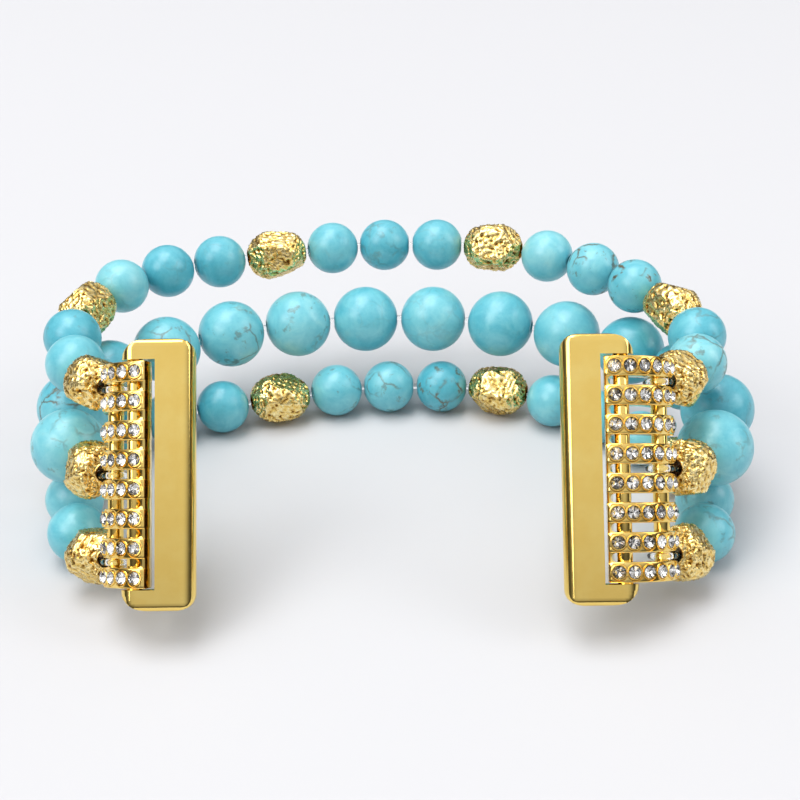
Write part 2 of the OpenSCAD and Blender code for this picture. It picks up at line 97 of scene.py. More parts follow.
PIN_ARC = BAR_R - BAR_T / 2
END_ANGLE = STONE_STEP * (STONES - 1) / 2
PIN_ANGLE = END_ANGLE - STONE_STEP / 2
PIN_TO_ROD = 2 * PIN_ARC * math.sin(math.radians(PIN_ANGLE))
ARC_CENTRE = Vector((PIN_TO_ROD / 2, PIN_ARC * math.cos(math.radians(PIN_ANGLE)), 0))
BAR_END = END_ANGLE + 12
STRAND_PITCH = 3 * BAR_PITCH
LADDER_LEN = BAR_PITCH * (BAR_COUNT - 1) + BAR_H
BAR_ROWS = [(row - (BAR_COUNT - 1) / 2) * BAR_PITCH for row in range(BAR_COUNT)]
print("ladder, mm:", round(LADDER_LEN, 2), "long,", round(PIN_TO_ROD, 2), "from hinge pin to cord rod")

# %% Walk along the strands
def heading(degrees):
    """A level direction, turned from +X."""
    return Vector((math.cos(math.radians(degrees)), math.sin(math.radians(degrees)), 0))


def walk(start, turn, first_len, lens, bends, side, gap):
    """Rows of (middle, heading, gate before, length) for each piece after the back bead."""
    middle, length, rows = Vector(start), first_len, []
    for next_len, bend in zip(lens, bends):
        gate = middle + heading(turn) * (length + gap) / 2
        turn += side * bend
        middle = gate + heading(turn) * (next_len + gap) / 2
        rows.append((middle.copy(), heading(turn), gate, next_len))
        length = next_len
    return rows


def lean_back(v):
    """A point of the upright ladder, once the ladders lean back."""
    x, y, z = v
    return Vector((x, y * math.cos(LEAN) + z * math.sin(LEAN), z * math.cos(LEAN) - y * math.sin(LEAN)))


def rod_point(hand, slot):
    """Where a strand's loop goes round the cord rod."""
    a = math.radians(SWING[hand])
    across, up = PIN_TO_ROD * math.cos(a), PIN_TO_ROD * math.sin(a)
    rod = lean_back((SIDE[hand] * across, up, slot * STRAND_PITCH))
    return Vector((SIDE[hand] * PIN_SPAN / 2, PIN_BACK, PIN_UP)) + rod


BOTTOM_BACK = (OUTER_BACK[0] + BOTTOM_SHIFT[0],
               OUTER_BACK[1] + BOTTOM_SHIFT[1] - 2 * STRAND_PITCH * math.sin(LEAN))
HEIGHTS = {"bottom": OUTER_D / 2, "middle": OUTER_D / 2 + RISE, "top": OUTER_D / 2 + 2 * RISE}
STARTS = {
    "top": (*OUTER_BACK, HEIGHTS["top"]),
    "middle": (*MIDDLE_BACK, HEIGHTS["middle"]),
    "bottom": (*BOTTOM_BACK, HEIGHTS["bottom"]),
}
SLOT = {"top": 1, "middle": 0, "bottom": -1}
strands, ends = {}, {}
for level, start in STARTS.items():
    kind = "middle" if level == "middle" else "outer"
    d, gap = (MIDDLE_D, MIDDLE_GAP) if kind == "middle" else (OUTER_D, OUTER_GAP)
    for hand, way in (("left", 1), ("right", -1)):
        bends = BENDS[kind, hand]
        turn = (180 if hand == "left" else 0) - (MIDDLE_TURN if kind == "middle" else 0)
        lens = OUTER_LENS if kind == "outer" else [MIDDLE_D] * len(bends)
        rows = walk(start, turn, d, lens, bends, way, gap)
        strands[level, hand] = rows
        gate = rows[-1][0] + rows[-1][1] * (rows[-1][3] + END_GAP) / 2
        aim = (rod_point(hand, SLOT[level]) - gate).normalized()
        ends[level, hand] = (gate + aim * (END_LEN + END_GAP) / 2, aim, gate, END_LEN)

low_x = min(r[0].x for r in strands["middle", "left"]) - MIDDLE_D / 2
high_x = max(r[0].x for r in strands["middle", "right"]) + MIDDLE_D / 2
back_y = OUTER_BACK[1] + OUTER_D / 2
front_y = PIN_BACK - LUG_LEN / 2 * math.sin(LEAN) - EAR_R * math.cos(LEAN)
SHIFT = Vector((-(low_x + high_x) / 2, -(back_y + front_y) / 2, 0))
print("shift to the origin, mm:", [round(c, 2) for c in SHIFT])

# %% [markdown]
# ## The camera
# The photograph looks down at the band by about 29.5 degrees with a lens of moderate length. The place
# was found by matching bead centres, so it is set as plain numbers and turned by a hair of roll.

# %% Camera
CAMERA_AT = Vector((2.0, -113.45, 82.55)) + SHIFT
CAMERA_DOWN, CAMERA_ROLL = 29.5, -0.7
camera_data = bpy.data.cameras.new("camera")
camera_data.lens = 63
camera_data.sensor_width = 36
camera_data.clip_start = 0.005
camera = bpy.data.objects.new("camera", camera_data)
bpy.context.scene.collection.objects.link(camera)
aim_down = Matrix.Rotation(math.radians(90 - CAMERA_DOWN), 4, "X")
camera.matrix_world = Matrix.Translation(CAMERA_AT * MM) @ aim_down @ Matrix.Rotation(
    math.radians(CAMERA_ROLL), 4, "Z")
bpy.context.scene.camera = camera
print("camera at, mm:", [round(c, 1) for c in CAMERA_AT])

# %% [markdown]
# ## Light and floor
# The photograph is a high-key product shot: a white sweep, and soft light from above. A pale floor takes
# the shadow, and large lamps give the stones and metal soft highlights. The world is white where the
# camera looks at it. For light and reflections it is a bright dome over a dark horizon, as in a studio
# with a dark room round the table, because gold looks like gold only with something dark to mirror.
# Metal mirrors the white top of the dome in full, and a darker band below it. Far from the band the
# floor fades into the white behind, as a sweep of paper does, so no view shows its edge.

# %% Colours
def linear(code):
    """sRGB hex to a linear colour."""
    parts = [int(code[i:i + 2], 16) / 255 for i in (1, 3, 5)]
    return tuple(c / 12.92 if c <= 0.04045 else ((c + 0.055) / 1.055) ** 2.4 for c in parts) + (1.0,)


def add(tree, kind, settings=None, stops=(), **links):
    """One node with its settings and colour stops, and a link or value for each named input."""
    node = tree.nodes.new(kind)
    for key, value in (settings or {}).items():
        setattr(node, key, value)
    for _ in stops[2:]:
        node.color_ramp.elements.new(0.5)
    for i, (place, code) in enumerate(stops):
        node.color_ramp.elements[i].position = place
        node.color_ramp.elements[i].color = linear(code)
    for key, value in links.items():
        socket = node.inputs[int(key[1:]) if key[1:].isdigit() else key.replace("_", " ")]
        if isinstance(value, bpy.types.NodeSocket):
            tree.links.new(value, socket)
        else:
            socket.default_value = value
    return node


def new_finish(name):
    """An empty material, its tree and its shader."""
    finish = bpy.data.materials.new(name)
    finish.use_nodes = True
    tree = finish.node_tree
    return finish, tree, tree.nodes["Principled BSDF"]


print("mid grey, linear:", round(linear("#808080")[0], 3))

# %% World, lamps and floor
SWEEP_WHITE = "#f8f8fb"
world = bpy.data.worlds.new("white_sweep")
world.use_nodes = True
bpy.context.scene.world = world
bpy.context.scene.view_settings.view_transform = "Standard"
sky = world.node_tree
background = sky.nodes["Background"]
background.inputs["Color"].default_value = linear(SWEEP_WHITE)
ray = add(sky, "ShaderNodeLightPath").outputs
seen = add(sky, "ShaderNodeMath", {"operation": "MAXIMUM"},
           i0=ray["Is Camera Ray"], i1=ray["Is Transmission Ray"])
direction = add(sky, "ShaderNodeTexCoord").outputs["Generated"]
height = add(sky, "ShaderNodeSeparateXYZ", Vector=direction).outputs["Z"]
HORIZON, DOME, DOME_FROM, DOME_TO = 0.1, 0.72, 0.12, 0.5
DARK_BAND, MIRRORED_TOP, BAND_FROM, BAND_TO = 0.08, 1.0, 0.15, 0.72
dome = add(sky, "ShaderNodeMapRange", {"interpolation_type": "SMOOTHSTEP"}, Value=height,
           From_Min=DOME_FROM, From_Max=DOME_TO, To_Min=HORIZON, To_Max=DOME)
mirrored = add(sky, "ShaderNodeMapRange", {"interpolation_type": "SMOOTHSTEP"}, Value=height,
               From_Min=BAND_FROM, From_Max=BAND_TO, To_Min=DARK_BAND, To_Max=MIRRORED_TOP)
lit = add(sky, "ShaderNodeMapRange", Value=ray["Is Glossy Ray"],
          To_Min=dome.outputs[0], To_Max=mirrored.outputs[0])
strength = add(sky, "ShaderNodeMapRange", Value=seen.outputs[0], To_Min=lit.outputs[0], To_Max=1.0)
sky.links.new(strength.outputs[0], background.inputs["Strength"])

BAND_MIDDLE = Vector((0, 0, 0.01))


def soft_box(name, place, width, height, watts):
    """A rectangular lamp that faces the band."""
    lamp = bpy.data.lights.new(name, "AREA")
    lamp.shape = "RECTANGLE"
    lamp.size, lamp.size_y = width, height
    lamp.energy = watts
    holder = bpy.data.objects.new(name, lamp)
    bpy.context.scene.collection.objects.link(holder)
    holder.location = place
    holder.rotation_euler = (BAND_MIDDLE - Vector(place)).to_track_quat("-Z", "Y").to_euler()


soft_box("overhead_box", (-0.3, 0.05, 1.5), 1.3, 0.9, 17.0)
soft_box("front_left_box", (-0.95, -0.7, 0.95), 0.8, 0.8, 7.5)
soft_box("right_box", (1.15, -0.2, 0.8), 0.6, 0.8, 4.0)

floor_mesh = bpy.data.meshes.new("pale_floor")
HALF = 1.6
floor_mesh.from_pydata([(-HALF, -HALF, 0), (HALF, -HALF, 0), (HALF, HALF, 0), (-HALF, HALF, 0)],
                       [], [(0, 1, 2, 3)])
floor = bpy.data.objects.new("pale_floor", floor_mesh)
bpy.context.scene.collection.objects.link(floor)
paper, tree, shader = new_finish("matte_white_paper")
shader.inputs["Base Color"].default_value = linear("#cdcdcf")
shader.inputs["Roughness"].default_value = 0.9
shader.inputs["Specular IOR Level"].default_value = 0.1
FADE_FROM, FADE_TO = 0.3, 0.95
spot = add(tree, "ShaderNodeTexCoord").outputs["Object"]
away = add(tree, "ShaderNodeVectorMath", {"operation": "LENGTH"}, Vector=spot).outputs["Value"]
fade = add(tree, "ShaderNodeMapRange", {"interpolation_type": "SMOOTHSTEP"}, Value=away,
           From_Min=FADE_FROM, From_Max=FADE_TO)
ray = add(tree, "ShaderNodeLightPath").outputs
seen = add(tree, "ShaderNodeMath", {"operation": "MAXIMUM"},
           i0=ray["Is Camera Ray"], i1=ray["Is Transmission Ray"])
direct = add(tree, "ShaderNodeMath", {"operation": "MAXIMUM"},
             i0=seen.outputs[0], i1=ray["Is Glossy Ray"])
share = add(tree, "ShaderNodeMath", {"operation": "MULTIPLY"}, i0=fade.outputs[0], i1=direct.outputs[0])
white = add(tree, "ShaderNodeEmission", Color=linear(SWEEP_WHITE), Strength=1.0)
swept = add(tree, "ShaderNodeMixShader",
            Fac=share.outputs[0], i1=shader.outputs[0], i2=white.outputs[0])
tree.links.new(swept.outputs[0], tree.nodes["Material Output"].inputs["Surface"])
floor_mesh.materials.append(paper)
print("lamps:", [lamp.name for lamp in bpy.data.lights])

# %% [markdown]
# ## Turquoise
# The beads are polished turquoise, or magnesite dyed to look like it. Such stone is opaque and waxy.
# Its blue is mottled at about 2.4 mm, some beads are paler than their neighbours, and some carry a dark
# brown matrix in specks and in thin broken veins, 3 mm apart. A thin polish over it gives the broad soft
# highlight. The stone's own grain is far finer than a pixel, so it is drawn at 0.38 mm, where it just
# shows.

# %% Polished turquoise
def per_metre(mm):
    """A pattern's scale, from its real size in millimetres."""
    return 1 / (mm * MM)


def turquoise():
    finish, tree, shader = new_finish("polished_turquoise")
    place = add(tree, "ShaderNodeTexCoord").outputs["Object"]
    tone = add(tree, "ShaderNodeAttribute", {"attribute_name": "stone_tone"}).outputs["Fac"]
    vein_share = add(tree, "ShaderNodeAttribute", {"attribute_name": "vein_share"}).outputs["Fac"]
    cloud = add(tree, "ShaderNodeTexNoise", Vector=place, Scale=per_metre(2.4), Detail=5.0,
                Roughness=0.6, Distortion=0.6)
    grain = add(tree, "ShaderNodeTexNoise", Vector=place, Scale=per_metre(0.38), Detail=3.0,
                Roughness=0.7)
    mixed = add(tree, "ShaderNodeMath", {"operation": "MULTIPLY_ADD"},
                i0=cloud.outputs["Fac"], i1=0.62, i2=tone)
    fine = add(tree, "ShaderNodeMath", {"operation": "MULTIPLY_ADD"},
               i0=grain.outputs["Fac"], i1=0.14, i2=mixed.outputs[0])
    blue = add(tree, "ShaderNodeValToRGB", Fac=fine.outputs[0], stops=[
        (0.2, "#41a3b5"), (0.38, "#5cb6c6"), (0.55, "#78c7d2"), (0.72, "#96d6db"), (0.92, "#b7e2dd")])
    bent = add(tree, "ShaderNodeTexNoise", Vector=place, Scale=per_metre(2.0), Detail=4.0)
    bent_place = add(tree, "ShaderNodeMix", {"data_type": "RGBA", "blend_type": "LINEAR_LIGHT"},
                     Factor=0.0012, A=place, B=bent.outputs["Color"])
    cells = add(tree, "ShaderNodeTexVoronoi", {"feature": "DISTANCE_TO_EDGE"},
                Vector=bent_place.outputs["Result"], Scale=per_metre(3.0), Randomness=1.0)
    thin = add(tree, "ShaderNodeMapRange", {"interpolation_type": "SMOOTHSTEP"},
               Value=cells.outputs["Distance"], From_Max=0.075, To_Min=1.0, To_Max=0.0)
    where = add(tree, "ShaderNodeTexNoise", Vector=place, Scale=per_metre(3.8), Detail=3.0)
    broken = add(tree, "ShaderNodeMapRange", {"interpolation_type": "SMOOTHSTEP"},
                 Value=where.outputs["Fac"], From_Min=0.5, From_Max=0.62)
    vein = add(tree, "ShaderNodeMath", {"operation": "MULTIPLY"},
               i0=thin.outputs[0], i1=broken.outputs[0])
    blot = add(tree, "ShaderNodeTexNoise", Vector=place, Scale=per_metre(1.4), Detail=4.0,
               Roughness=0.65)
    blots = add(tree, "ShaderNodeMapRange", {"interpolation_type": "SMOOTHSTEP"},
                Value=blot.outputs["Fac"], From_Min=0.58, From_Max=0.68, To_Max=0.8)
    marks = add(tree, "ShaderNodeMath", {"operation": "MAXIMUM"},
                i0=vein.outputs[0], i1=blots.outputs[0])
    matrix = add(tree, "ShaderNodeMath", {"operation": "MULTIPLY"}, i0=marks.outputs[0], i1=vein_share)
    brown = add(tree, "ShaderNodeValToRGB", Fac=grain.outputs["Fac"],
                stops=[(0.3, "#3d3626"), (0.7, "#74633c")])
    colour = add(tree, "ShaderNodeMix", {"data_type": "RGBA"},
                 Factor=matrix.outputs[0], A=blue.outputs["Color"], B=brown.outputs["Color"])
    tree.links.new(colour.outputs["Result"], shader.inputs["Base Color"])
    rough = add(tree, "ShaderNodeMapRange", Value=matrix.outputs[0], To_Min=0.34, To_Max=0.5)
    tree.links.new(rough.outputs[0], shader.inputs["Roughness"])
    shader.inputs["IOR"].default_value = 1.55
    shader.inputs["Coat Weight"].default_value = 0.15
    shader.inputs["Coat Roughness"].default_value = 0.16
    height = add(tree, "ShaderNodeMath", {"operation": "MULTIPLY_ADD"},
                 i0=matrix.outputs[0], i1=-1.0, i2=grain.outputs["Fac"])
    bump = add(tree, "ShaderNodeBump", Strength=0.25, Distance=0.04 * MM, Height=height.outputs[0])
    tree.links.new(bump.outputs[0], shader.inputs["Normal"])
    return finish


TURQUOISE = turquoise()
print("nodes in the turquoise:", len(TURQUOISE.node_tree.nodes))

# %% [markdown]
# ## Gold
# The metal is cast brass, plated with a warm gold. The nuggets are cast rough like lava rock: ridges
# catch the light, and shade is painted into the pits as deep brown, so their colour follows how deep a
# point lies. Ladders, pins and lug adapters are polished, with only a faint ripple, 2.4 to 3.3 mm long,
# and rub marks in the plating. Real rub marks are hundredths of a millimetre wide. Here they are about
# half a millimetre, so that they show as a slight unevenness of the shine.

# %% Gold plated brass, rough and polished
def gold(name, colours, rough, wave_mm, bump_mm, by_depth=False):
    """A plated gold in three tones from deep to bright, which may follow depth as painted shade in pits.
    """
    finish, tree, shader = new_finish(name)
    place = add(tree, "ShaderNodeTexCoord").outputs["Object"]
    cloud = add(tree, "ShaderNodeTexNoise", Vector=place, Scale=per_metre(wave_mm), Detail=5.0,
                Roughness=0.6)
    rub = add(tree, "ShaderNodeTexNoise", Vector=place, Scale=per_metre(wave_mm / 6), Detail=3.0)
    factor = cloud.outputs["Fac"]
    if by_depth:
        # Painted shade: the deeper a point lies in a pit or ripple, the darker and browner its gold.
        depth = add(tree, "ShaderNodeAttribute", {"attribute_name": "depth"}).outputs["Fac"]
        lifted = add(tree, "ShaderNodeMath", {"operation": "MULTIPLY_ADD"}, i0=factor, i1=0.35, i2=0.62)
        sunk = add(tree, "ShaderNodeMath", {"operation": "SUBTRACT"}, i0=lifted.outputs[0], i1=depth)
        factor = sunk.outputs[0]
    colour = add(tree, "ShaderNodeValToRGB", Fac=factor, stops=list(zip((0.12, 0.45, 0.75), colours)))
    tree.links.new(colour.outputs["Color"], shader.inputs["Base Color"])
    shader.inputs["Metallic"].default_value = 1.0
    worn = add(tree, "ShaderNodeMapRange", Value=rub.outputs["Fac"], From_Min=0.3, From_Max=0.7,
               To_Min=rough[0], To_Max=rough[1])
    tree.links.new(worn.outputs[0], shader.inputs["Roughness"])
    bump = add(tree, "ShaderNodeBump", Strength=0.5, Distance=bump_mm * MM, Height=rub.outputs["Fac"])
    tree.links.new(bump.outputs[0], shader.inputs["Normal"])
    return finish


NUGGET_GOLD = gold("cast_gold_nugget", ("#7c4f16", "#f0cc74", "#ffeeb2"), (0.19, 0.33), 1.1, 0.03, True)
POLISHED_GOLD = gold("polished_gold_plate", ("#f0cc6c", "#f3d174", "#f6d981"), (0.08, 0.14), 3.3, 0.0015)
LADDER_GOLD = gold("ladder_gold_plate", ("#eec566", "#f3d074", "#f7dd8c"), (0.08, 0.15), 2.4, 0.002)
print("golds:", NUGGET_GOLD.name, POLISHED_GOLD.name, LADDER_GOLD.name)

# %% [markdown]
# ## Crystal, foil, elastic and steel
# The stones are foil-backed glass chatons: clear lead-free glass, with a silvered cone behind. The light
# and dark facets it throws back are painted into the foil as painted reflections. The cord is clear
# polyurethane elastic. The lock plungers and springs are stainless steel, turned and drawn. Haze on the
# glass, streaks in the cord and lines on the steel are finer than a pixel in life, and are drawn at a
# quarter to half a millimetre.

# %% Clear solids, foil and steel
def clear(name, code, ior, mark_mm, detail, haze):
    """A clear solid, hazy in soft marks of this size."""
    finish, tree, shader = new_finish(name)
    shader.inputs["Base Color"].default_value = linear(code)
    shader.inputs["Transmission Weight"].default_value = 1.0
    shader.inputs["IOR"].default_value = ior
    place = add(tree, "ShaderNodeTexCoord").outputs["Object"]
    marks = add(tree, "ShaderNodeTexNoise", Vector=place, Scale=per_metre(mark_mm), Detail=detail)
    rough = add(tree, "ShaderNodeMapRange", Value=marks.outputs["Fac"], To_Max=haze)
    tree.links.new(rough.outputs[0], shader.inputs["Roughness"])
    return finish


def silver_foil():
    finish, tree, shader = new_finish("silver_foil_back")
    # Painted reflection: each facet's tone runs from near black to near white, for the light and dark
    # the foil mirrors.
    tone = add(tree, "ShaderNodeAttribute", {"attribute_name": "facet_tone"}).outputs["Fac"]
    colour = add(tree, "ShaderNodeValToRGB", Fac=tone,
                 stops=[(0.0, "#2b2826"), (0.4, "#96938f"), (0.75, "#fbfaf7")])
    tree.links.new(colour.outputs["Color"], shader.inputs["Base Color"])
    shader.inputs["Metallic"].default_value = 1.0
    shader.inputs["Roughness"].default_value = 0.16
    return finish


def turned_steel():
    finish, tree, shader = new_finish("turned_stainless_steel")
    place = add(tree, "ShaderNodeTexCoord").outputs["Object"]
    lines = add(tree, "ShaderNodeTexNoise", Vector=place, Scale=per_metre(0.25), Detail=2.0)
    colour = add(tree, "ShaderNodeValToRGB", Fac=lines.outputs["Fac"],
                 stops=[(0.3, "#a9acb0"), (0.7, "#c8cbce")])
    tree.links.new(colour.outputs["Color"], shader.inputs["Base Color"])
    shader.inputs["Metallic"].default_value = 1.0
    shader.inputs["Roughness"].default_value = 0.28
    return finish


CRYSTAL = clear("chaton_crystal_glass", "#ffffff", 1.56, 0.33, 2.0, 0.05)
FOIL = silver_foil()
ELASTIC = clear("clear_polyurethane_elastic", "#fdfefe", 1.38, 0.55, 3.0, 0.1)
STEEL = turned_steel()
print("finishes:", len(bpy.data.materials))

# %% [markdown]
# ## Meshes from millimetre lists
# Every piece is gathered as plain lists of points and faces in millimetres, placed in the band's frame,
# and turned into one mesh. Normals are made to agree afterwards, so a mirrored piece comes out right.

# %% Gather and make
class Gather:
    """Points and faces of one piece, in millimetres, with values kept for each point."""

    def __init__(self):
        self.points, self.faces, self.slots, self.values = [], [], [], {}

    def put(self, points, faces, where=Matrix(), slot=0, **values):
        start = len(self.points)
        self.points += [where @ Vector(p) for p in points]
        self.faces += [[start + i for i in f] for f in faces]
        self.slots += [slot] * len(faces)
        for key, value in values.items():
            held = self.values.setdefault(key, [])
            held += [0.0] * (start - len(held))
            held += value if isinstance(value, list) else [value] * len(points)

    def make(self, name, body, finishes, nodes, smooth=60):
        mesh = bpy.data.meshes.new(name)
        mesh.from_pydata([tuple((p + SHIFT) * MM) for p in self.points], [], self.faces)
        for finish in finishes:
            mesh.materials.append(finish)
        for polygon, index in zip(mesh.polygons, self.slots):
            polygon.material_index = index
        for key, held in self.values.items():
            held += [0.0] * (len(self.points) - len(held))
            layer = mesh.attributes.new(key, "FLOAT", "POINT")
            layer.data.foreach_set("value", held)
        shell = bmesh.new()
        shell.from_mesh(mesh)
        bmesh.ops.recalc_face_normals(shell, faces=shell.faces)
        shell.to_mesh(mesh)
        shell.free()
        if smooth:
            mesh.shade_smooth()
            mesh.set_sharp_from_angle(angle=math.radians(smooth))
        piece = bpy.data.objects.new(name, mesh)
        bpy.context.scene.collection.objects.link(piece)
        if body:
            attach(piece, body)
        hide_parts(*nodes)
        return piece


def along(place, direction):
    """Turns +X towards a direction, at a place."""
    x = Vector(direction).normalized()
    y = Vector((0, 0, 1)).cross(x).normalized()
    z = x.cross(y)
    turn = Matrix((x, y, z)).transposed().to_4x4()
    return Matrix.Translation(place) @ turn


def lathe(profile, sides):
    """A closed outline of (along, radius) turned round +X."""
    points, faces, n = [], [], len(profile)
    for x, r in profile:
        for j in range(sides):
            a = 2 * math.pi * j / sides
            points.append((x, r * math.cos(a), r * math.sin(a)))
    for i in range(n):
        for j in range(sides):
            k, m = (i + 1) % n, (j + 1) % sides
            faces.append((i * sides + j, i * sides + m, k * sides + m, k * sides + j))
    return points, faces


def skin(rings, sides):
    """Faces of a tube of so many rings of points, closed at both ends."""
    faces = [(i * sides + s, i * sides + (s + 1) % sides,
              (i + 1) * sides + (s + 1) % sides, (i + 1) * sides + s)
             for i in range(rings - 1) for s in range(sides)]
    return faces + [list(range(sides)), list(range((rings - 1) * sides, rings * sides))]


def bevelled(shell, is_sharp, width):
    """Breaks the sharp edges of a welded shell, and gives its points and faces."""
    bmesh.ops.recalc_face_normals(shell, faces=shell.faces)
    sharp = [e for e in shell.edges if len(e.link_faces) == 2 and is_sharp(e)]
    bmesh.ops.bevel(shell, geom=sharp, offset=width, segments=3, profile=0.5, affect="EDGES",
                    clamp_overlap=True)
    shell.verts.index_update()
    points = [v.co.copy() for v in shell.verts]
    faces = [[v.index for v in f.verts] for f in shell.faces]
    shell.free()
    return points, faces


print("faces of a cube's skin:", len(skin(2, 4)))

# %% [markdown]
# ## Stone beads
# A stone bead is ground round and drilled. The outline is turned on the bore: the ball, a softened rim
# where the drill came out, and the wall of the bore. Polishing takes a hair off, so that neighbours
# never rub. Each bead gets its own tone and its own share of matrix, kept as values on its points,
# because beads on one strand come from different bits of rock.

# %% Beads
BEAD_BORE_R, RIM, POLISHED_OFF = 0.65, 0.12, 0.03
BEAD_SIDES, BEAD_STEPS = 56, 30


def bead_outline(d):
    r = d / 2 - POLISHED_OFF
    start = math.asin((BEAD_BORE_R + RIM) / r)
    turns = [start + (math.pi - 2 * start) * i / BEAD_STEPS for i in range(BEAD_STEPS + 1)]
    arc = [(r * math.cos(a), r * math.sin(a)) for a in turns]
    x = arc[0][0]
    rim = [(x - 0.03, BEAD_BORE_R + 0.05), (x - 0.12, BEAD_BORE_R)]
    return rim[::-1] + arc + [(-a, b) for a, b in rim]


bead_forms = {d: lathe(bead_outline(d)[::-1], BEAD_SIDES) for d in (OUTER_D, MIDDLE_D)}
VEINED = {"top_bead_right_2": 0.9, "top_bead_right_3": 1.0, "top_bead_right_4": 0.35,
          "middle_bead_left_2": 0.8, "top_bead_left_4": 0.4, "middle_bead_right_2": 0.4,
          "middle_bead_left_3": 0.5, "middle_bead_right_3": 0.5,
          "bottom_beads_right_front": 0.6, "top_bead_right_5": 0.8, "top_bead_back": 0.45,
          "middle_beads_left_rear": 0.7, "bottom_beads_back": 0.8}
PLAIN_SHARE = 0.12
bead_tones = []


def bead_piece(node, body, places, d):
    """One node's beads, each with its own spin on the cord, tone and share of matrix."""
    gather = Gather()
    for place, direction in places:
        spin = Matrix.Rotation(rng.uniform(0, 2 * math.pi), 4, "X")
        tone = rng.uniform(-0.06, 0.2)
        share = VEINED.get(node, PLAIN_SHARE) * rng.uniform(0.7, 1.2)
        gather.put(*bead_forms[d], along(place, direction) @ spin, stone_tone=tone, vein_share=share)
        bead_tones.append(tone)
    gather.make(node + "_stone", body, [TURQUOISE], [node])


def rows_of(level, hand, numbers):
    return [(strands[level, hand][i][0], strands[level, hand][i][1]) for i in numbers]


BACK = "back_of_band"
forward = {"top": heading(0), "middle": heading(-MIDDLE_TURN), "bottom": heading(0)}
bead_piece("top_bead_back", BACK, [(Vector(STARTS["top"]), forward["top"])], OUTER_D)
bead_piece("top_bead_back_left", BACK, rows_of("top", "left", [0]), OUTER_D)
bead_piece("top_bead_back_right", BACK, rows_of("top", "right", [0]), OUTER_D)
bead_piece("middle_beads_back", BACK, [(Vector(STARTS["middle"]), forward["middle"])]
           + rows_of("middle", "left", [0]), MIDDLE_D)
bead_piece("bottom_beads_back", BACK, [(Vector(STARTS["bottom"]), forward["bottom"])]
           + rows_of("bottom", "left", [0]) + rows_of("bottom", "right", [0]), OUTER_D)
FIRST_MIDDLE = {"left": [[1, 2, 3], 4, 5, 6], "right": [[0, 1, 2], 3, 4, 5]}
for hand in SIDE:
    body = {part: f"{hand}_{part}_section" for part in ("rear", "side", "turn", "front")}
    top_parts = ((2, "rear"), (3, "rear"), (4, "rear"), (6, "turn"), (7, "front"))
    for number, (i, part) in enumerate(top_parts, 1):
        bead_piece(f"top_bead_{hand}_{number}", body[part], rows_of("top", hand, [i]), OUTER_D)
    rear, one, two, three = FIRST_MIDDLE[hand]
    bead_piece(f"middle_beads_{hand}_rear", body["rear"], rows_of("middle", hand, rear), MIDDLE_D)
    for number, (i, part) in enumerate(((one, "side"), (two, "turn"), (three, "front")), 1):
        bead_piece(f"middle_bead_{hand}_{number}", body[part], rows_of("middle", hand, [i]), MIDDLE_D)
    bead_piece(f"bottom_beads_{hand}_rear", body["rear"], rows_of("bottom", hand, [2, 3]), OUTER_D)
    bead_piece(f"bottom_bead_{hand}_1", body["side"], rows_of("bottom", hand, [4]), OUTER_D)
    bead_piece(f"bottom_beads_{hand}_front", body["front"], rows_of("bottom", hand, [6, 7]), OUTER_D)
print("stone beads:", len(bead_tones))

# %% [markdown]
# ## Nuggets
# A nugget is a short barrel with five flat faces, as if broken from a block: the same faces as in the
# engineering source, from the same formula. Eight shallow cuts more knock off its shoulders. Over that,
# the casting is rough: pits of half a millimetre, ripples between them and a slow lumpiness. Depth is
# kept for each point, and darkens the pits as painted shade. The end nuggets are cut at a slant on the
# side that faces the ladder.

# %% Nuggets
NUGGET_RINGS, NUGGET_STEPS, NUGGET_BORE_R = 128, 84, 0.85
PIT_MM, PIT_DEEP, RIPPLE_DEEP, LUMP_DEEP, PROUD = 0.62, 0.19, 0.16, 0.06, 0.1
FLATS, FLAT_DEEP, DEEP_WAVE, TURN_WAVE, SLOPE_WAVE = 5, 0.42, 0.14, 16, 15
FACE_WAVES = ((97, 61), (143, 29), (211, 83))
END_SLANT, END_CUT, MOUTH_SHORT = 12, 0.25, 0.05
BARREL_POWER = 2.5
HEWN, HEWN_DEEP, HEWN_SLOPE, HEWN_TIP, HEWN_TURN = 8, 0.3, 44, 6, 20
HEWN_WAVES = ((151, 67), (89, 41))
WARP_SCALE, WARP_MM, RIPPLE_SCALES, LUMP_SCALE = 1.3, 0.3, (2.1, 4.7), 0.7
BORE_WALL, RIM_MM, MOUTH_PLAIN = 0.03, 0.5, 1.3


def nugget_outline(length, d):
    """A barrel between a ball and a cylinder: half a superellipse, with the bore through it."""
    outline, power = [], BARREL_POWER
    start = math.asin(((NUGGET_BORE_R + 0.1) / (d / 2)) ** (power / 2))
    for i in range(NUGGET_STEPS + 1):
        t = start + (math.pi - 2 * start) * i / NUGGET_STEPS
        x = math.copysign(length / 2 * abs(math.cos(t)) ** (2 / power), math.cos(t))
        outline.append((x, d / 2 * math.sin(t) ** (2 / power)))
    x = outline[0][0]
    inner = [(x - 1.4, NUGGET_BORE_R), (x - 0.5, NUGGET_BORE_R), (x - 0.1, NUGGET_BORE_R + 0.02)]
    return inner + outline + [(-a, b) for a, b in inner[::-1]]


def facing(slope, turn):
    """A direction turned round the bore, and sloped towards its end."""
    return Vector((math.sin(slope), math.cos(slope) * math.cos(turn), math.cos(slope) * math.sin(turn)))


def scatter(waves, i, number):
    """Fixed values from -1 to 1 for one face of one nugget."""
    return [math.sin(math.radians(a * i + b * number)) for a, b in waves]


def flat_faces(number):
    """The flat faces of one nugget: distance from its middle and direction."""
    flats = []
    for i in range(FLATS):
        turned, sloped, sunk = scatter(FACE_WAVES, i, number)
        turn = math.radians(360 * i / FLATS + TURN_WAVE * turned)
        out = facing(math.radians(SLOPE_WAVE * sloped), turn)
        flats.append((NUGGET_D / 2 - FLAT_DEEP + DEEP_WAVE * sunk, out))
    return flats


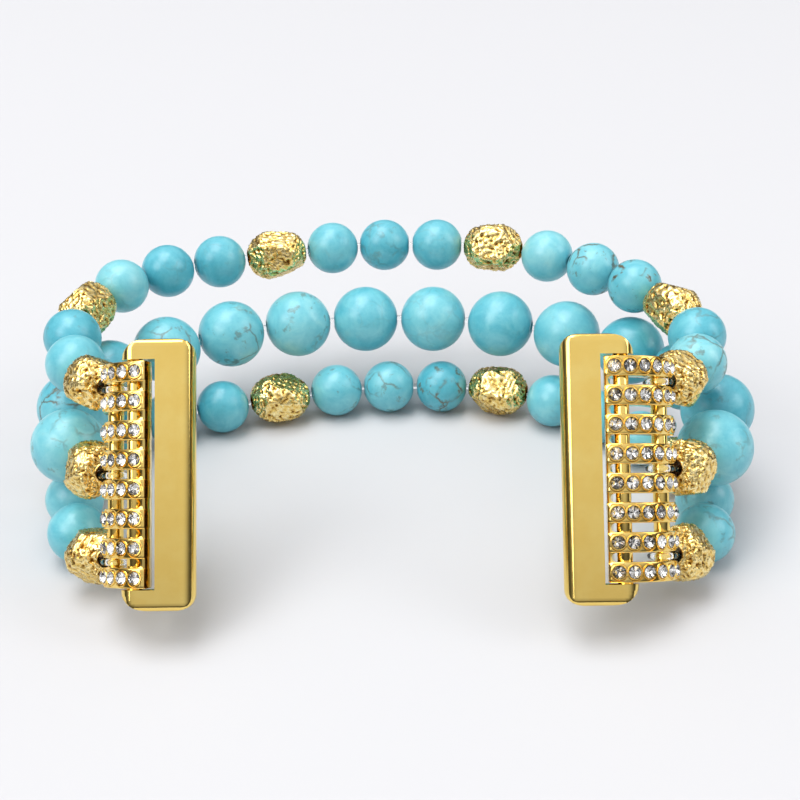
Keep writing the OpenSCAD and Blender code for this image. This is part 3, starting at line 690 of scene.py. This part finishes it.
def hewn_faces(length, number):
    """Shoulders knocked off the barrel by turns at both ends, 0.15 to 0.45 mm deep."""
    flats, dual = [], BARREL_POWER / (BARREL_POWER - 1)
    for i in range(HEWN):
        sunk, tipped = scatter(HEWN_WAVES, i, number)
        turn = math.radians(360 * i / HEWN + HEWN_TURN * sunk)
        slope = math.radians(HEWN_SLOPE + HEWN_TIP * tipped)
        lengthways, across = length / 2 * math.sin(slope), NUGGET_D / 2 * math.cos(slope)
        reach = (lengthways ** dual + across ** dual) ** (1 / dual)
        flats.append((reach - HEWN_DEEP * (1 + 0.5 * sunk), facing(slope * (-1) ** i, turn)))
    return flats


def nugget(length, number, way=0):
    """Points, faces and depth of one nugget along +X. An end nugget's mouth is cut at a slant."""
    points, faces = lathe(nugget_outline(length - 2 * MOUTH_SHORT, NUGGET_D)[::-1], NUGGET_RINGS)
    offset = Vector((number * 17.3, number * 5.1, -number * 9.7))
    flats = flat_faces(number) + hewn_faces(length, number)
    if way:
        slant = math.radians(END_SLANT)
        mouth = Vector((math.cos(slant), way * math.sin(slant), 0))
        flats.append((length / 2 * math.cos(slant) - END_CUT, mouth))
    shaped, depth = [], []
    for x, y, z in points:
        p = Vector((x, y, z))
        r = math.hypot(y, z)
        if r <= NUGGET_BORE_R + BORE_WALL:
            shaped.append(p)
            depth.append(1.0)
            continue
        for distance, out in flats:
            over = p.dot(out) - distance
            if over > 0:
                p -= out * over
        at = p + offset
        warp = noise.noise_vector(at * WARP_SCALE) * WARP_MM
        pit = max(0.0, 1 - 2 * noise.voronoi((at + warp) / PIT_MM)[0][0])
        broad, fine = (abs(noise.noise(at * scale)) for scale in RIPPLE_SCALES)
        ripple = min(1.0, broad * 1.5 + fine)
        lump = 0.5 + 0.5 * noise.noise(at * LUMP_SCALE)
        rim = min(1.0, (r - NUGGET_BORE_R) / RIM_MM)
        proud = PROUD * min(1.0, max(0.0, length / 2 - MOUTH_PLAIN - abs(x)))
        press = PIT_DEEP * pit + RIPPLE_DEEP * ripple + LUMP_DEEP * lump - proud
        shaped.append(p - Vector((x / length, y / NUGGET_D, z / NUGGET_D)).normalized() * rim * press)
        # Painted shade: how deep a point lies in the pits and ripples, kept to darken its colour.
        depth.append(min(1.0, 0.65 * pit + 0.4 * ripple))
    return shaped, faces, depth


def nugget_piece(node, body, place, direction, length, number, way=0):
    gather = Gather()
    points, faces, depth = nugget(length, number, way)
    gather.put(points, faces, along(place, direction), depth=depth)
    gather.make(node + "_cast", body, [NUGGET_GOLD], [node])


number = 0
for level in ("top", "bottom"):
    for hand in SIDE:
        side_body = f"{hand}_side_section" if level == "top" else f"{hand}_turn_section"
        for name, i, body in (("back", 1, f"{hand}_rear_section"), ("side", 5, side_body)):
            row, number = strands[level, hand][i], number + 1
            nugget_piece(f"{level}_nugget_{name}_{hand}", body, row[0], row[1], NUGGET_LEN, number)
for level in ("top", "middle", "bottom"):
    for hand, way in SIDE.items():
        (place, aim, _, length), number = ends[level, hand], number + 1
        nugget_piece(f"{level}_end_nugget_{hand}", f"{hand}_end_nuggets", place, aim, length, number,
                     way)
print("nuggets:", number)

# %% [markdown]
# ## Ladders
# A ladder is a curved plate, slotted into eight bars and set with crystals along each. A bar is built
# from six equal cells, one for each stone. A cell is a patch that runs from the foot of the stone's cup,
# up its wall, over a thin raised lip and out to the cell's straight edges, and is bent round the
# ladder's curve. Sides, back and ends close it, and its long edges are rounded off.

# %% Frames of the ladder and the hinge pin
def at_pin(hand):
    """The frame of a hinge pin: X away from the middle of the band, Z along the pin."""
    place = Vector((SIDE[hand] * PIN_SPAN / 2, PIN_BACK, PIN_UP))
    mirror = Matrix.Diagonal((SIDE[hand], 1, 1, 1))
    return Matrix.Translation(place) @ Matrix.Rotation(-LEAN, 4, "X") @ mirror


def at_ladder(hand):
    """The same frame, swung with the ladder."""
    return at_pin(hand) @ Matrix.Rotation(math.radians(SWING[hand]), 4, "Z")


def on_arc(angle, radius, z):
    """A point of the ladder's curve: degrees from its middle, distance from its centre, and height."""
    a = math.radians(angle)
    return Vector((ARC_CENTRE.x + radius * math.sin(a), ARC_CENTRE.y - radius * math.cos(a), z))


print("right hinge pin at, mm:", [round(c, 2) for c in at_pin("right").translation + SHIFT])

# %% One bar
STONE_R, CUP_R, CUP_DEEP = 0.575, 0.6, 0.36
CELL = 6
SAMPLES = 4 * CELL
LIP = [(CUP_R, -CUP_DEEP), (CUP_R, 0.07), (CUP_R + 0.03, 0.12), (CUP_R + 0.08, 0.12),
       (CUP_R + 0.11, 0.07), (CUP_R + 0.12, -0.05), (CUP_R + 0.18, -0.06), (CUP_R + 0.22, 0.0)]
WELD, BAR_SHARP, BAR_BEVEL = 0.0005, 0.7, 0.13


def cell_edge():
    """Points round a cell's edge, as shares of half its width and height."""
    sides = [((1, -1), (1, 1)), ((1, 1), (-1, 1)), ((-1, 1), (-1, -1)), ((-1, -1), (1, -1))]
    return [(a[0] + (b[0] - a[0]) * i / CELL, a[1] + (b[1] - a[1]) * i / CELL)
            for a, b in sides for i in range(CELL)]


def ladder_bar():
    shell = bmesh.new()
    half_w, half_h = STONE_STEP / 2, BAR_H / 2
    mm_per_degree = math.radians(1) * BAR_R
    low, high = BAR_R - BAR_T, BAR_R

    def patch(*corners):
        """A face through corners given as angle, radius and height."""
        shell.faces.new([shell.verts.new(on_arc(*corner)) for corner in corners])

    for s in range(STONES):
        middle = s * STONE_STEP - END_ANGLE
        edge, rings = cell_edge(), []
        turns = [math.atan2(v * half_h, u * half_w * mm_per_degree) for u, v in edge]
        for r, rise in LIP:
            rings.append([shell.verts.new(on_arc(middle + r * math.cos(a) / mm_per_degree, BAR_R + rise,
                                                 r * math.sin(a))) for a in turns])
        rings.append([shell.verts.new(on_arc(middle + u * half_w, BAR_R, v * half_h)) for u, v in edge])
        shell.faces.new(rings[0])
        for inner, outer in zip(rings, rings[1:]):
            for j in range(SAMPLES):
                k = (j + 1) % SAMPLES
                shell.faces.new((inner[j], inner[k], outer[k], outer[j]))
        columns = [middle - half_w + STONE_STEP * i / CELL for i in range(CELL + 1)]
        for a, b in zip(columns, columns[1:]):
            for z in (-half_h, half_h):
                patch((a, low, z), (b, low, z), (b, high, z), (a, high, z))
            patch((a, low, -half_h), (b, low, -half_h), (b, low, half_h), (a, low, half_h))
    last = END_ANGLE + half_w
    tip = [(last, high, low), (last + 2.2, high - 0.08, low + 0.02),
           (last + 4.2, high - 0.55, low + 0.35)]
    levels = [half_h * (2 * i / CELL - 1) for i in range(CELL + 1)]
    for way in (-1, 1):
        for (a, top, foot), (b, next_top, next_foot) in zip(tip, tip[1:]):
            a, b = way * a, way * b
            for z0, z1 in zip(levels, levels[1:]):
                patch((a, top, z0), (b, next_top, z0), (b, next_top, z1), (a, top, z1))
            patch((a, foot, -half_h), (b, next_foot, -half_h), (b, next_foot, half_h),
                  (a, foot, half_h))
            for z in (-half_h, half_h):
                patch((a, foot, z), (b, next_foot, z), (b, next_top, z), (a, top, z))
        patch(*[(b, next_top, z) for z in levels], *[(b, next_foot, z) for z in (half_h, -half_h)])
    bmesh.ops.remove_doubles(shell, verts=shell.verts, dist=WELD)
    return bevelled(shell, lambda e: e.calc_face_angle() > BAR_SHARP
                    and all(abs(abs(v.co.z) - half_h) < 0.01 for v in e.verts), BAR_BEVEL)


bar_points, bar_faces = ladder_bar()
print("faces in one bar:", len(bar_faces))

# %% Spine and ladder pieces
def spine():
    """The strip that joins the bars between their ends and the hinge pin. Each slot ends in it in a
    half round, so the strip is built of cross-sections whose inner edge follows those half rounds."""
    first, last = -BAR_END + 0.5, -BAR_END + 0.5 + SPINE
    per_mm = 1 / (math.radians(1) * BAR_R)
    slot_r, half, low = (BAR_PITCH - BAR_H) / 2, LADDER_LEN / 2 - 0.04, BAR_R - BAR_T
    levels = [(-half, slot_r)]
    for slot in range(BAR_COUNT - 1):
        middle = (slot + 1 - BAR_COUNT / 2) * BAR_PITCH
        for i in range(13):
            a = math.radians(-90 + 15 * i)
            levels.append((middle + slot_r * math.sin(a), slot_r * (1 - math.cos(a))))
    levels.append((half, slot_r))
    points = []
    for z, fill in levels:
        edge = last + fill * per_mm
        section = ((first, BAR_R - 0.55), (first + 1.5, BAR_R - 0.2), (first + 3.5, BAR_R - 0.07),
                   (edge, BAR_R - 0.12), (edge, low + 0.15), (first + 2, low + 0.1), (first, low + 0.35))
        points += [on_arc(a, r, z) for a, r in section]
    return points, skin(len(levels), len(section))


for hand in SIDE:
    gather = Gather()
    for z in BAR_ROWS:
        gather.put(bar_points, bar_faces, at_ladder(hand) @ Matrix.Translation((0, 0, z)))
    gather.put(*spine(), at_ladder(hand))
    gather.make(f"{hand}_ladder_bars", f"{hand}_ladder_set", [LADDER_GOLD],
                [f"{hand}_ladder"], smooth=35)
print("faces in one spine:", len(spine()[1]))

# %% [markdown]
# ## Crystals
# A chaton has a flat table, a crown of eight star facets, eight kites and sixteen small facets down to
# the girdle, and below it a silvered cone of sixteen facets. Crown and cone are one mesh with two
# materials, so a ray goes in through glass and comes back off the foil. Each foil facet is painted its
# own tone, from near black to near white, as a painted reflection of light and dark.

# %% Faceted stones
TABLE_R, STAR_R, TABLE_Z, STAR_Z, GIRDLE_Z, CULET_Z = 0.3, 0.45, 0.3, 0.22, 0.07, -0.3
# The foil's painted reflections: the tones its facets are painted in, picked at random.
STONE_TILT, PAINTED_FOIL_REFLECTIONS = 0.07, (0.05, 0.2, 0.5, 0.75, 0.9, 1.0)


def circle(radius, count, z, turn=0):
    """Points round the stone's axis."""
    angles = [math.radians(360 * i / count + turn) for i in range(count)]
    return [(radius * math.cos(a), radius * math.sin(a), z) for a in angles]


def chaton():
    points = circle(TABLE_R, 8, TABLE_Z) + circle(STAR_R, 8, STAR_Z, 22.5)
    points += circle(STONE_R, 16, GIRDLE_Z) + [(0, 0, CULET_Z)]
    glass = [list(range(8))]
    for i in range(8):
        j, before = (i + 1) % 8, (i - 1) % 8
        glass.append((i, 8 + i, j))
        glass.append((i, 8 + before, 16 + 2 * i, 8 + i))
        glass.append((8 + i, 16 + 2 * i, 16 + 2 * i + 1))
        glass.append((8 + i, 16 + 2 * i + 1, 16 + (2 * i + 2) % 16))
    foil = [(16 + i, 32, 16 + (i + 1) % 16) for i in range(16)]
    return points, glass, foil


stone_points, glass_faces, foil_faces = chaton()
for hand in SIDE:
    gather = Gather()
    for z in BAR_ROWS:
        for s in range(STONES):
            angle = s * STONE_STEP - END_ANGLE
            outward = (on_arc(angle, 1, 0) - on_arc(angle, 0, 0)).normalized()
            up = Vector((0, 0, 1))
            across = up.cross(outward)
            spin = Matrix.Rotation(rng.uniform(0, math.pi), 4, "Z")
            tilt = Matrix.Rotation(rng.uniform(-STONE_TILT, STONE_TILT), 4, "X")
            seat = Matrix((across, up, outward)).transposed().to_4x4()
            seat = Matrix.Translation(on_arc(angle, BAR_R, z)) @ seat @ spin @ tilt
            where = at_ladder(hand) @ seat
            gather.put(stone_points, glass_faces, where, 0, facet_tone=0.0)
            for f in foil_faces:
                # Painted reflection: a random light or dark tone for this foil facet.
                tone = rng.choice(PAINTED_FOIL_REFLECTIONS)
                gather.put([stone_points[i] for i in f], [(0, 1, 2)], where, 1, facet_tone=tone)
    gather.make(f"{hand}_crystals_set", f"{hand}_ladder_set", [CRYSTAL, FOIL],
                [f"{hand}_ladder_crystals"], smooth=0)
print("crystals:", 2 * BAR_COUNT * STONES)

# %% [markdown]
# ## Lug adapters
# An adapter is one polished bar: a tongue with a full round nose that slides into the watch, and two
# ears that hold the hinge pin. Seen from the front all its corners are well rounded. It is built as a
# stack of cross-sections along its length: each is the same outline, cut off where the corners or the
# space for the ladder begin. Its sharp edges are then broken with a small bevel, as on cast jewellery.

# %% Adapter
NOSE_X = -(PIN_REACH + TONGUE_W)
EAR_FROM = LADDER_LEN / 2 + 0.15
EAR_CORNER, CORNER_OUT, NOSE_CORNER, EDGE, PIN_WALL = 2.5, 0.15, 1.5, 0.42, 1.3
SECTION_STEPS = 14
PLATE_WELD, PLATE_SHARP, SHORTEST, PLATE_BEVEL = 0.0004, 0.9, 0.1, 0.14


def section(low, high, inset):
    """Cross-section between low and high along X, with its skin drawn in by the inset."""
    r, steps = TONGUE_T / 2, SECTION_STEPS
    nose = [(NOSE_X + r - r * math.cos(math.radians(a)), r * math.sin(math.radians(a)))
            for a in [-90 + 180 * i / steps for i in range(steps + 1)]]
    ear = [(EAR_R * math.cos(math.radians(a)), r * math.sin(math.radians(a)))
           for a in [90 - 180 * i / steps for i in range(steps + 1)]]
    flat = [NOSE_X + r - (NOSE_X + r) * i / steps for i in range(1, steps)]
    outline = nose + [(x, r) for x in flat] + ear + [(x, -r) for x in flat[::-1]]
    shrink = (r - inset) / r
    return [(min(max(x, low + inset), high - inset), y * shrink) for x, y in outline]


def rounding(z, corner_r):
    """How far a corner of this radius has drawn in at a height near the end."""
    over = abs(z) - (LUG_LEN / 2 - corner_r)
    return 0.0 if over <= 0 else corner_r - math.sqrt(max(0.0, corner_r ** 2 - over ** 2))


def adapter():
    half = LUG_LEN / 2
    curve = [half - EAR_CORNER * (1 - math.sin(math.radians(a))) for a in range(0, 90, 9)]
    levels = [(z, rounding(z, EDGE)) for z in [EAR_FROM] + curve if z >= EAR_FROM]
    levels += [(half - 0.01, EDGE * 0.8), (half, EDGE)]
    stack = [(-z, True, inset) for z, inset in levels[::-1]] + [(-EAR_FROM, False, 0.0)]
    stack += [(EAR_FROM, False, 0.0)] + [(z, True, inset) for z, inset in levels]
    shell = bmesh.new()
    rings = []
    for z, ear, inset in stack:
        low = NOSE_X + rounding(z, NOSE_CORNER)
        high = EAR_R + CORNER_OUT - rounding(z, EAR_CORNER) if ear else -PIN_REACH
        rings.append([shell.verts.new((x, y, z)) for x, y in section(low, high, inset)])
    n = len(rings[0])
    for a, b in zip(rings, rings[1:]):
        for i in range(n):
            shell.faces.new((a[i], a[(i + 1) % n], b[(i + 1) % n], b[i]))
    shell.faces.new(rings[0])
    shell.faces.new(rings[-1])
    bmesh.ops.remove_doubles(shell, verts=shell.verts, dist=PLATE_WELD)
    bmesh.ops.dissolve_degenerate(shell, edges=shell.edges, dist=PLATE_WELD)
    return bevelled(shell, lambda e: e.calc_face_angle() > PLATE_SHARP and e.calc_length() > SHORTEST,
                    PLATE_BEVEL)


plate_points, plate_faces = adapter()
for hand in SIDE:
    gather = Gather()
    gather.put(plate_points, plate_faces, at_pin(hand))
    gather.make(f"{hand}_lug_plate", f"{hand}_lug", [POLISHED_GOLD],
                [f"{hand}_lug_adapter"], smooth=40)
print("faces in one adapter:", len(plate_faces))

# %% [markdown]
# ## Rods, pins and plungers
# The rods and hinge pins are plain turned wire with broken edges, so each is turned from its outline.
# The plunger has a domed tip that springs into a notch in the watch, and the coil behind it is a real
# wire wound four times.

# %% Turned pins
BROKEN, TIP_R, PIN_SIDES = 0.12, 0.02, 40


def pin_piece(hand, kind, where, length, d):
    """A plain pin along Z with broken edges. Its outline is one end and the same end mirrored."""
    r, h = d / 2, length / 2
    end = [(h, TIP_R), (h, r - BROKEN), (h - 0.03, r - BROKEN / 3), (h - BROKEN, r)]
    outline = [(-x, y) for x, y in end] + end[::-1]
    gather = Gather()
    gather.put(*lathe(outline, PIN_SIDES), where @ Matrix.Rotation(-math.pi / 2, 4, "Y"))
    gather.make(f"{hand}_{kind}_turned", f"{hand}_ladder_set", [POLISHED_GOLD],
                [f"{hand}_{kind}"])


for hand in SIDE:
    pin_piece(hand, "cord_rod", at_ladder(hand) @ Matrix.Translation((PIN_TO_ROD, 0, 0)),
              LADDER_LEN - 0.06, ROD_D)
    pin_piece(hand, "hinge_pin", at_pin(hand), LUG_LEN - 2 * PIN_WALL, PIN_D)
print("hinge pins, mm long:", round(LUG_LEN - 2 * PIN_WALL, 2))

# %% Plungers and coils
POCKET_X, POCKET_DEEP = -(PIN_REACH + TONGUE_W / 2), TONGUE_T - 0.4
PLUNGER_D, PLUNGER_LEN, PLUNGER_OUT, DOME_H, PRESS = 1.5, 1.4, 0.5, 0.3, 0.5
WIRE, TURNS, TURN_STEPS, WIRE_SIDES = 0.14, 4, 24, 8
COIL_LONG = POCKET_DEEP - (PLUNGER_LEN - PLUNGER_OUT) - 0.06


def plunger_outline():
    r, shoulder = PLUNGER_D / 2, PLUNGER_LEN - DOME_H
    turns = [math.radians(a) for a in range(15, 91, 15)]
    dome = [(shoulder + DOME_H * math.sin(a), r * (0.45 + 0.55 * math.cos(a))) for a in turns]
    return [(0, TIP_R), (0, r), (shoulder, r)] + dome + [(PLUNGER_LEN, TIP_R)]


def spring_coil():
    """Rings of points along a wire wound round the plunger's axis, up from the pocket's floor."""
    points, steps = [], TURN_STEPS * TURNS
    mean_r, foot = PLUNGER_D / 2 - WIRE * 1.5, TONGUE_T / 2 - POCKET_DEEP + WIRE / 2 + 0.02
    for i in range(steps + 1):
        t, y = 2 * math.pi * i / TURN_STEPS, foot + (COIL_LONG - WIRE) * i / steps
        for s in range(WIRE_SIDES):
            a = 2 * math.pi * s / WIRE_SIDES
            ring_r = mean_r + WIRE / 2 * math.cos(a)
            points.append((POCKET_X + ring_r * math.cos(t), y + WIRE / 2 * math.sin(a),
                           ring_r * math.sin(t)))
    return points, skin(steps + 1, WIRE_SIDES)


for hand in SIDE:
    foot = Matrix.Translation((POCKET_X, TONGUE_T / 2 + PLUNGER_OUT - PLUNGER_LEN, 0))
    where = at_pin(hand) @ foot @ Matrix.Rotation(math.pi / 2, 4, "Z")
    gather = Gather()
    gather.put(*lathe(plunger_outline(), PIN_SIDES), where)
    gather.make(f"{hand}_plunger_turned", f"{hand}_plunger", [STEEL], [f"{hand}_lock_plunger"])
    gather = Gather()
    gather.put(*spring_coil(), at_pin(hand))
    coil = gather.make(f"{hand}_spring_coil", f"{hand}_lug", [STEEL], [f"{hand}_lock_spring"])
    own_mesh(coil)
print("coil, mm long at rest:", round(COIL_LONG, 2))

# %% [markdown]
# ## Elastic cords
# Each strand's cord is one clear elastic, which stretches between the beads when the band is pulled over
# a hand. Inside the beads it is hidden, so it is built as short lengths, one through each gap. A length
# whose two beads belong to different sections is carried by neither, and its place is baked into its
# points.
# At the ends the cord comes out of the nugget's mouth, goes once round the rod and back in.

# %% Cord lengths
CORD_R, CORD_SIDES, EASE_STEPS = 0.3, 12, 14


def tube(points):
    """The cord along a path of points."""
    rings, n = [], len(points)
    for i, p in enumerate(points):
        a = (points[min(i + 1, n - 1)] - points[max(i - 1, 0)]).normalized()
        side = Vector((0, 0.3, 1)).cross(a).normalized()
        up = a.cross(side)
        for s in range(CORD_SIDES):
            t = 2 * math.pi * s / CORD_SIDES
            rings.append(p + (side * math.cos(t) + up * math.sin(t)) * CORD_R)
    return rings, skin(n, CORD_SIDES)


def eased(a, gate, b):
    """A smooth short path from a past the gate to b."""
    shares = [i / EASE_STEPS for i in range(EASE_STEPS + 1)]
    return [a * (1 - t) ** 2 + gate * 2 * t * (1 - t) + b * t ** 2 for t in shares]


OUTER_BODY = ["back", "rear", "rear", "rear", "rear", "side", "turn", "front"]
BOTTOM_BODY = ["back", "rear", "rear", "rear", "side", "turn", "front", "front"]
MIDDLE_BODY = {"left": ["back", "rear", "rear", "rear", "side", "turn", "front"],
               "right": ["rear", "rear", "rear", "side", "turn", "front"]}


def body_name(hand, part):
    """The body that carries this part of a strand."""
    if part == "back":
        return BACK
    return f"{hand}_end_nuggets" if part == "end" else f"{hand}_{part}_section"


INSIDE, GATE_HALF = 1.6, 0.12
lengths = 0
for (level, hand), rows in strands.items():
    parts = {"top": OUTER_BODY, "bottom": BOTTOM_BODY, "middle": MIDDLE_BODY[hand]}[level]
    previous, way = "back", heading(0 if hand == "right" else 180)
    if level == "middle":
        way = heading(-MIDDLE_TURN if hand == "right" else 180 - MIDDLE_TURN)
    for number, (row, part) in enumerate(zip(rows + [ends[level, hand]], parts + ["end"])):
        gate, onward = row[2], row[1]
        gather = Gather()
        start, stop = gate - way * INSIDE, gate + onward * INSIDE
        gather.put(*tube(eased(start, gate, stop)))
        same = part == previous
        piece = gather.make(f"{level}_elastic_{hand}_{number}", body_name(hand, part) if same else None,
                            [ELASTIC], [f"{level}_elastic_cord"])
        if not same:
            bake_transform(piece)
        previous, way = part, onward
        lengths += 1

# %% Loops round the rods
LOOP_R, RUN_OFF, MOUTH_OFF = ROD_D / 2 + 0.08 + CORD_R, 0.45, 0.38
TAIL, THROAT, OPENING, LOOP_STEPS = 2.4, 0.9, 52, 24
for (level, hand), (place, aim, gate, length) in ends.items():
    rod = rod_point(hand, SLOT[level])
    up = lean_back((0, 0, 1))
    inward = gate - rod
    inward = (inward - up * inward.dot(up)).normalized()
    across = up.cross(inward)
    centre = place + aim * length / 2
    mouth = centre + up * max(-MOUTH_OFF, min(MOUTH_OFF, (rod - centre).dot(up)))
    run = across * RUN_OFF
    path = [mouth - aim * TAIL + run, mouth - aim * THROAT + run, mouth + run]
    for i in range(LOOP_STEPS + 1):
        t = math.radians(OPENING + (360 - 2 * OPENING) * i / LOOP_STEPS)
        path.append(rod + (inward * math.cos(t) + across * math.sin(t)) * LOOP_R)
    path += [mouth - run, mouth - aim * THROAT - run, mouth - aim * TAIL - run]
    gather = Gather()
    gather.put(*tube(path))
    gather.make(f"{level}_elastic_loop_{hand}", f"{hand}_end_nuggets", [ELASTIC],
                [f"{level}_elastic_cord"])
    lengths += 1
print("cord lengths:", lengths)
